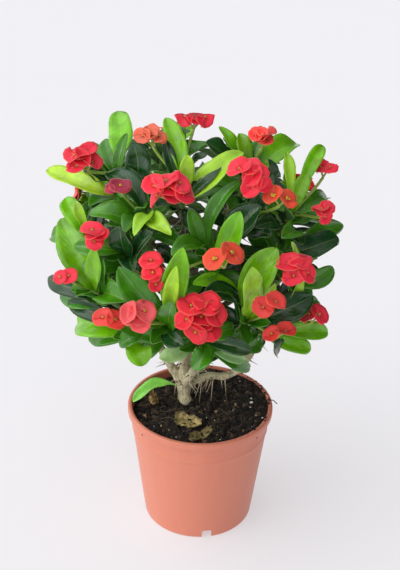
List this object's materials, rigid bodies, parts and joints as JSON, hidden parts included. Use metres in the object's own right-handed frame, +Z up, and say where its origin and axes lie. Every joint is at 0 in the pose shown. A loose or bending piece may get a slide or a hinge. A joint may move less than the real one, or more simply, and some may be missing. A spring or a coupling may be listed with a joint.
{
  "type": "potted euphorbia",
  "caption": "Potted crown-of-thorns euphorbia: a tapered terracotta-coloured nursery pot with soil, a gnarled forking trunk, leafy shoots in a round crown and stalked heads of red bracts",
  "frame": {"origin": "centre of the pot's underside, on the surface that the pot stands on", "axes": "+Z up along the pot's axis; +X to the right and -Y toward the viewer when the fullest side of the crown is seen from the front"},
  "size_m": [0.241, 0.2548, 0.3878],
  "materials": {
    "pot": "injection-moulded polypropylene, terracotta colour, satin",
    "soil": "moist peat potting mix with perlite and fibres",
    "bark": "pale dry euphorbia bark, spiny",
    "leaf": "waxy green leaf",
    "bract": "soft red bract",
    "dried_leaf": "dry curled leaf"
  },
  "bodies": {
    "root": {"basal_sprout": "leaf", "dried_leaf_front": "dried_leaf", "dried_leaf_left": "dried_leaf", "dried_leaf_rim": "dried_leaf", "flower_back_1": "bract", "flower_back_2": "bract", "flower_back_3": "bract", "flower_back_4": "bract", "flower_back_5": "bract", "flower_centre_left": "bract", "flower_centre_low_large": "bract", "flower_centre_orange": "bract", "flower_left": "bract", "flower_left_edge": "bract", "flower_low_right_coral": "bract", "flower_low_right_pair": "bract", "flower_lower_left": "bract", "flower_lower_left_coral": "bract", "flower_right_edge": "bract", "flower_right_edge_high": "bract", "flower_right_edge_low": "bract", "flower_right_middle": "bract", "flower_right_orange": "bract", "flower_top": "bract", "flower_top_left_aged": "bract", "flower_top_left_edge": "bract", "flower_top_right": "bract", "flower_upper_left_large": "bract", "flower_upper_left_shaded": "bract", "flower_upper_right": "bract", "pot": "pot", "shoot_back_1": "leaf", "shoot_back_2": "leaf", "shoot_back_3": "leaf", "shoot_back_4": "leaf", "shoot_back_5": "leaf", "shoot_back_6": "leaf", "shoot_back_7": "leaf", "shoot_back_8": "leaf", "shoot_back_9": "leaf", "shoot_bottom_centre": "leaf", "shoot_bottom_left": "leaf", "shoot_centre_upper": "leaf", "shoot_front_centre_left": "leaf", "shoot_front_centre_right": "leaf", "shoot_inner_left": "leaf", "shoot_inner_right": "leaf", "shoot_left_low": "leaf", "shoot_left_upper": "leaf", "shoot_right_low": "leaf", "shoot_right_middle": "leaf", "shoot_right_upper": "leaf", "shoot_top_centre": "leaf", "shoot_top_left": "leaf", "shoot_top_right": "leaf", "shoot_upper_left": "leaf", "soil": "soil", "trunk_and_limbs": "bark"}
  },
  "joints": []
}
